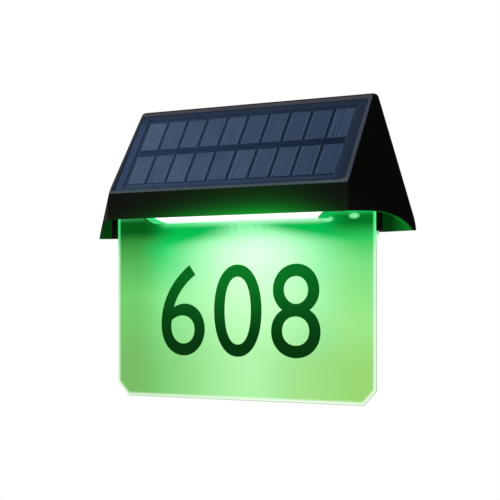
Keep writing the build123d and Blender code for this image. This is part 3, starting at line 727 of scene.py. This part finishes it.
# Lamp: the lens is white over the diodes, green and dimmer at its ends
lampLook = {
    "core": tone(255, 255, 255),
    "coreLip": tone(180, 228, 196),  # its underside, painted dimmer as shade
    "lipDrop": (2.1, 2.8),
    "coreGlow": 1.25,
    "coreBase": (tone(60, 70, 63), tone(80, 90, 83)),
    "end": tone(60, 232, 132),
    "endRight": tone(14, 186, 84),
    "endDark": tone(0, 96, 24),
    "endBase": tone(4, 40, 14),
    "endGlow": 0.9,
    "leftEnd": (-54.3, 2.6),  # where the white part ends at the eave, and its lean per mm down
    "rightEnd": (61.4, 1.3),
    "coreSoft": (-0.6, 0.8),
    "leftTip": (-61.1, 1.8),  # where the lens's green end starts to glow
    "tipSoft": (-0.6, 1.0),
    "fineScale": 500.0,
    "rough": (0.3, 0.42),
    "specular": 0.03,
    "diode": (0.70, 1.0, 0.72),
    "diodeRough": 0.35,
    "diodeVariation": 0.1,
    "diodeGlow": 2.0,
}


def lensFinish():
    look = lampLook
    finish = Finish("milkyLens")
    across, drop = acrossAndDrop(finish)
    hanging = finish.highest(drop, 0.0)

    def inside(end, side):  # mm inward from a leaning end, which lies on the left (1) or right (-1)
        place, lean = look[end]
        return finish.minus(finish.times(finish.minus(across, place), side), finish.times(hanging, lean))

    core = finish.fade(finish.lower(inside("leftEnd", 1), inside("rightEnd", -1)), *look["coreSoft"])
    fine = finish.noise(look["fineScale"])
    white = finish.mix(finish.fade(drop, *look["lipDrop"]), look["core"], look["coreLip"])
    ends = finish.mix(finish.fade(inside("leftTip", 1), *look["tipSoft"]), look["endDark"], look["end"])
    ends = finish.mix(finish.isAbove(across, 0.0), ends, look["endRight"])
    finish.set(colour=finish.mix(core, look["endBase"], finish.mix(fine, *look["coreBase"])),
               glow=finish.mix(core, ends, white),
               glowStrength=finish.fade(core, 0.0, 1.0, look["endGlow"], look["coreGlow"]),
               rough=finish.spread(fine, *look["rough"]), specular=look["specular"])
    return finish


lensFinish().paint("led_lens")
diodeFinish = plainFinish("diodeWindow", lampLook["diode"], lampLook["diodeRough"],
                          variation=lampLook["diodeVariation"],
                          glow=lampLook["diode"], glowStrength=lampLook["diodeGlow"])
diodeFinish.paint("leds")
print("plate and lamp finishes done")

# Circuit boards: glass weave and paler tracks
boardLook = {
    "green": (0.012, 0.12, 0.05),
    "white": (0.72, 0.74, 0.72),
    "cloudScale": 90.0,
    "cloudDark": 0.75,
    "tracksPerMetre": 260.0,
    "trackWidth": 0.3,  # in shares of their pitch
    "trackBright": 1.8,
    "trackShare": 0.35,
    "weaveScale": 1400.0,
    "weaveHeight": 0.02 * mm,
    "weaveStrength": 0.1,
    "rough": 0.42,
}


def circuitBoard(name, colour):
    look = boardLook
    finish = Finish(name)
    weave = finish.add("ShaderNodeTexChecker")
    weave.inputs["Scale"].default_value = look["weaveScale"]
    finish.feed(weave.inputs["Vector"], finish.coords.outputs["Object"])
    darker = tuple(channel * look["cloudDark"] for channel in colour)
    brighter = tuple(min(1.0, channel * look["trackBright"]) for channel in colour)
    base = finish.mix(finish.noise(look["cloudScale"]), darker, colour)
    phase = finish.math("FRACT", finish.times(finish.axes("x")[0], look["tracksPerMetre"]))
    tracks = finish.times(finish.isBelow(phase, look["trackWidth"]), look["trackShare"])
    finish.set(colour=finish.mix(tracks, base, brighter), rough=look["rough"])
    finish.bump(weave.outputs["Fac"], look["weaveStrength"], look["weaveHeight"])
    return finish


circuitBoard("greenLaminate", boardLook["green"]).paint("control_board")
circuitBoard("whiteLaminate", boardLook["white"]).paint("led_board")

# Plain finishes of the inner pieces, the seals and the button
innerLook = {
    "whiteFoam": {"on": ["panel_adhesive"], "colour": (0.70, 0.70, 0.67), "rough": 0.85,
                  "grain": 2500.0, "grainHeight": 0.08 * mm},
    "mouldedChips": {"on": ["board_parts", "push_switch"], "colour": (0.02, 0.02, 0.022), "rough": 0.5},
    "holderPlastic": {"on": ["battery_holder", "plate_clamp"], "colour": (0.02, 0.02, 0.022), "rough": 0.5},
    "naturalNylon": {"on": ["switch_plunger"], "colour": (0.62, 0.62, 0.57), "rough": 0.45},
    "blackSilicone": {"on": ["lens_gasket", "button_seal"], "colour": (0.018, 0.018, 0.019), "rough": 0.7},
    # the button cap's green glow is painted light from the lamp
    "milkySilicone": {"on": ["button_cap"], "colour": tone(30, 92, 50), "rough": 0.5, "variation": 0.1,
                      "glow": tone(20, 200, 80), "glowStrength": 0.35},
    "nickelStrip": {"on": ["battery_contacts"], "colour": (0.63, 0.60, 0.55), "rough": 0.25, "metal": 1.0},
    "blueSleeve": {"on": ["battery"], "colour": (0.025, 0.12, 0.34), "rough": 0.25, "coat": 0.4},
    "redInsulation": {"on": ["battery_leads", "panel_leads", "lamp_leads"],
                      "colour": (0.42, 0.016, 0.014), "rough": 0.45},
}
for finishName, look in innerLook.items():
    settings = {key: value for key, value in look.items() if key != "on"}
    plainFinish(finishName, **settings).paint(*look["on"])
print("inner finishes done")

# Screws: cross-recessed flat heads, one modelled per group and copied to each place
screwLook = {
    "sides": 40,
    "headRadius": 2.4 * mm,
    "headHeight": 1.2 * mm,
    "shankRadius": 1.25 * mm,
    "tipTaper": 0.25,
    "rimRound": 0.3 * mm,
    "rimSteps": 4,
    "crossLong": 2.9 * mm,
    "crossWide": 0.7 * mm,
    "crossDeep": 0.75 * mm,
    "crossTaper": 0.6,
    "turn": 37.0,  # each screw of a group is turned this much further
    "smoothAngle": 35.0,
    "apart": 5.28 * mm,  # screws of a group stand further apart than this
    "zinc": (0.36, 0.365, 0.375),
    "rough": 0.3,
}
screwGroups = [  # CAD node, new piece, axis (0 to 2 for X to Z) and the way its heads look along it
    ("base_screws", "baseScrews", 2, -1),
    ("case_screws", "caseScrews", 1, 1),
    ("clamp_screws", "clampScrews", 1, -1),
    ("board_screws", "boardScrews", 2, 1),
]
screwSteel = plainFinish("zincSteel", screwLook["zinc"], screwLook["rough"], metal=1.0)


def facesFacing(obj, direction, closeness=0.99):
    bpy.ops.object.mode_set(mode="EDIT")
    bpy.ops.mesh.select_mode(type="FACE")
    bpy.ops.mesh.select_all(action="DESELECT")
    bpy.ops.object.mode_set(mode="OBJECT")
    for face in obj.data.polygons:
        face.select = face.normal.dot(direction) > closeness
    bpy.ops.object.mode_set(mode="EDIT")


def modelScrew(length):
    look = screwLook
    deselectAll()
    bpy.ops.mesh.primitive_cylinder_add(vertices=look["sides"], radius=look["headRadius"],
                                        depth=look["headHeight"], location=(0, 0, -look["headHeight"] / 2))
    screw = bpy.context.object
    bpy.ops.object.transform_apply(location=True, rotation=False, scale=False)
    facesFacing(screw, Vector((0, 0, 1)))
    bpy.ops.mesh.bevel(offset=look["rimRound"], segments=look["rimSteps"])
    facesFacing(screw, Vector((0, 0, -1)))
    bpy.ops.mesh.inset(thickness=look["headRadius"] - look["shankRadius"])
    plainShank = length - look["headHeight"] - look["shankRadius"]
    bpy.ops.mesh.extrude_region_move(TRANSFORM_OT_translate={"value": (0, 0, -plainShank)})
    bpy.ops.mesh.extrude_region_move(TRANSFORM_OT_translate={"value": (0, 0, -look["shankRadius"])})
    bpy.ops.transform.resize(value=(look["tipTaper"], look["tipTaper"], 1.0))
    bpy.ops.object.mode_set(mode="OBJECT")
    for turn in (0, 90):
        cutCross(screw, turn)
    bpy.ops.object.shade_smooth_by_angle(angle=radians(look["smoothAngle"]))
    return screw


def cutCross(screw, turn):
    look = screwLook
    deselectAll()
    bpy.ops.mesh.primitive_cube_add(size=1.0, rotation=(0, 0, radians(turn)))
    bar = bpy.context.object
    bar.scale = (look["crossLong"], look["crossWide"], 2 * look["crossDeep"])
    bpy.ops.object.transform_apply(location=True, rotation=True, scale=True)
    facesFacing(bar, Vector((0, 0, -1)))
    bpy.ops.transform.resize(value=(look["crossTaper"], look["crossTaper"], 1.0))
    bpy.ops.object.mode_set(mode="OBJECT")
    onlySelect(screw)
    cut = screw.modifiers.new("cross", "BOOLEAN")
    cut.operation = "DIFFERENCE"
    cut.solver = "EXACT"
    cut.object = bar
    bpy.ops.object.modifier_apply(modifier=cut.name)
    onlySelect(bar)
    bpy.ops.object.delete()
    onlySelect(screw)


def cornersOf(points):
    lows = Vector([min(point[i] for point in points) for i in range(3)])
    highs = Vector([max(point[i] for point in points) for i in range(3)])
    return lows, highs


def solidSpots(name, axis):  # the middle of each screw, seen along its axis
    groups = []
    for vertex in nodes[name].data.vertices:
        flat = vertex.co.copy()
        flat[axis] = 0.0
        for group in groups:
            if (group[0] - flat).length < screwLook["apart"]:
                group.append(flat)
                break
        else:
            groups.append([flat])
    return [sum(cornersOf(group), Vector()) / 2 for group in groups]


def makeScrews(name, pieceName, axis, side):
    low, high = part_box(name)
    pattern = modelScrew(high[axis] - low[axis])
    outward = Vector([side if i == axis else 0 for i in range(3)])
    upright = Vector((0, 0, 1)).rotation_difference(outward).to_euler()
    copies = []
    for index, spot in enumerate(solidSpots(name, axis)):
        onlySelect(pattern)
        bpy.ops.object.duplicate(linked=False)
        screw = bpy.context.object
        screw.rotation_euler = (0, 0, radians(screwLook["turn"] * index))
        bpy.ops.object.transform_apply(location=False, rotation=True, scale=False)
        screw.rotation_euler = upright
        spot[axis] = high[axis] if side > 0 else low[axis]
        screw.location = spot
        bpy.ops.object.transform_apply(location=True, rotation=True, scale=False)
        copies.append(screw)
    onlySelect(pattern)
    bpy.ops.object.delete()
    deselectAll()
    for screw in copies:
        screw.select_set(True)
    group = copies[0]
    bpy.context.view_layer.objects.active = group
    bpy.ops.object.join()
    group.name = pieceName
    bpy.context.scene.cursor.location = (0, 0, 0)
    bpy.ops.object.origin_set(type="ORIGIN_CURSOR")
    screwSteel.paint(group)
    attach(group, "lamp")
    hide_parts(name)


for screwGroup in screwGroups:
    makeScrews(*screwGroup)
print("screws done")

# House number in dark film on the plate's front
numberLook = {
    "digits": "608",
    "tall": 52.0 * mm,
    "wide": 111.0 * mm,
    "centreX": -1.0 * mm,
    "centreDrop": 53.0 * mm,
    "film": 0.12 * mm,
    "spacing": 1.05,
    "curveSteps": 16,
    "rawDepth": 0.5,  # scaled down to the film
    # the film's colour is painted green light from the lamp, brighter near the top
    "dark": tone(0, 48, 4),
    "lit": tone(4, 118, 32),
    "litCentre": 6.0,  # painted light on it, in mm across and down
    "litReach": 70.0,
    "litDrop": (74.0, 26.0),
    "fineScale": 1200.0,
    "fineHeight": 0.01 * mm,
    "fineStrength": 0.2,
    "rough": (0.42, 0.55),
    "specular": 0.006,
}


def numeralFinish():
    look = numberLook
    finish = Finish("numeralFilm")
    across, drop = acrossAndDrop(finish)
    # painted light on the film
    lit = finish.times(finish.fade(drop, *look["litDrop"]),
                       finish.bell(finish.minus(across, look["litCentre"]), look["litReach"]))
    fine = finish.noise(look["fineScale"])
    finish.set(colour=plateLook["body"], glow=finish.mix(lit, look["dark"], look["lit"]), glowStrength=1.0,
               specular=look["specular"], specularTint=plateLook["tint"],
               rough=finish.spread(fine, *look["rough"]))
    finish.bump(fine, look["fineStrength"], look["fineHeight"])
    return finish


def makeNumerals():
    look = numberLook
    deselectAll()
    bpy.ops.object.text_add(location=(0, 0, 0))
    text = bpy.context.object
    text.name = "numerals"
    text.data.body = look["digits"]
    text.data.align_x = "CENTER"
    text.data.align_y = "CENTER"
    text.data.resolution_u = look["curveSteps"]
    text.data.space_character = look["spacing"]
    text.data.extrude = look["rawDepth"]
    bpy.ops.object.convert(target="MESH")
    numerals = bpy.context.object
    lows, highs = cornersOf([vertex.co for vertex in numerals.data.vertices])
    sizes = (look["wide"], look["tall"], look["film"])
    onlySelect(numerals)
    numerals.location = -Vector(((lows.x + highs.x) / 2, (lows.y + highs.y) / 2, lows.z))
    bpy.ops.object.transform_apply(location=True, rotation=False, scale=False)
    numerals.scale = [size / (high - low) for size, low, high in zip(sizes, lows, highs)]
    bpy.ops.object.transform_apply(location=False, rotation=False, scale=True)
    numerals.rotation_euler = (radians(90), 0, 0)
    numerals.location = (look["centreX"], plateLow.y, eaveZ - look["centreDrop"])
    bpy.ops.object.transform_apply(location=True, rotation=True, scale=False)
    numeralFinish().paint(numerals)
    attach(numerals, "lamp")


makeNumerals()
print("numerals done")

# Stage: pale floor, white surround, soft lights. Places are in metres.
stageLook = {
    "floorZ": -1.2,  # it hangs on a wall, well above the floor
    "floorSize": 8.0,
    "floorColour": (0.9, 0.9, 0.9),
    "floorRough": 0.9,
    "floorGlow": 0.5,  # as the camera sees it
    "white": (1.0, 1.0, 1.0),
    "ambient": 0.58,
    "lights": {
        "key": {"place": (-0.9, -1.3, 1.1), "size": 1.2, "power": 22.0},
        "fill": {"place": (1.3, -1.2, 0.3), "size": 1.0, "power": 8.0},
        "top": {"place": (0.1, 0.2, 1.5), "size": 1.2, "power": 10.0},
    },
}


def seenDirectly(tree):
    path = tree.nodes.new("ShaderNodeLightPath")
    seen = path.outputs["Is Camera Ray"]
    for ray in ("Is Glossy Ray", "Is Transmission Ray"):
        either = tree.nodes.new("ShaderNodeMath")
        either.operation = "MAXIMUM"
        tree.links.new(seen, either.inputs[0])
        tree.links.new(path.outputs[ray], either.inputs[1])
        seen = either.outputs[0]
    return seen


def makeWorld():
    world = bpy.data.worlds.new("studio")
    bpy.context.scene.world = world
    world.use_nodes = True
    tree = world.node_tree
    soft = tree.nodes["Background"]
    bright = tree.nodes.new("ShaderNodeBackground")
    for background, strength in ((soft, stageLook["ambient"]), (bright, 1.0)):
        background.inputs["Color"].default_value = (*stageLook["white"], 1.0)
        background.inputs["Strength"].default_value = strength
    mix = tree.nodes.new("ShaderNodeMixShader")
    tree.links.new(seenDirectly(tree), mix.inputs["Fac"])
    tree.links.new(soft.outputs[0], mix.inputs[1])
    tree.links.new(bright.outputs[0], mix.inputs[2])
    tree.links.new(mix.outputs[0], tree.nodes["World Output"].inputs["Surface"])


def makeFloor():
    look = stageLook
    deselectAll()
    bpy.ops.mesh.primitive_plane_add(size=look["floorSize"], location=(0, 0, look["floorZ"]))
    floor = bpy.context.object
    floor.name = "floor"
    finish = Finish("paleFloor")
    finish.set(colour=look["floorColour"], rough=look["floorRough"], glow=look["white"],
               glowStrength=finish.times(seenDirectly(finish.tree), look["floorGlow"]))
    finish.paint(floor)


def makeLight(name, look):
    data = bpy.data.lights.new(name, "AREA")
    data.shape = "DISK"
    data.size = look["size"]
    data.energy = look["power"]
    lamp = bpy.data.objects.new(name, data)
    bpy.context.scene.collection.objects.link(lamp)
    lamp.location = look["place"]
    lamp.rotation_euler = (-lamp.location).to_track_quat("-Z", "Y").to_euler()


# Camera from the photograph's straight edges: level, turned to the left
cameraLook = {
    "place": (0.5405, -0.7520, -0.0870),
    "turn": 36.0,
    "lens": 116.7,
    "sensor": 36.0,
    "shift": 0.0982,
    "nearest": 0.01,
}


def makeCamera():
    look = cameraLook
    data = bpy.data.cameras.new("camera")
    data.sensor_width = look["sensor"]
    data.lens = look["lens"]
    data.shift_y = look["shift"]
    data.clip_start = look["nearest"]
    camera = bpy.data.objects.new("camera", data)
    bpy.context.scene.collection.objects.link(camera)
    camera.location = look["place"]
    camera.rotation_euler = (radians(90), 0, radians(look["turn"]))
    bpy.context.scene.camera = camera


makeWorld()
makeFloor()
for lightName, lightLook in stageLook["lights"].items():
    makeLight(lightName, lightLook)
makeCamera()
bpy.context.scene.view_settings.view_transform = "Standard"
print("stage, lights and camera done")
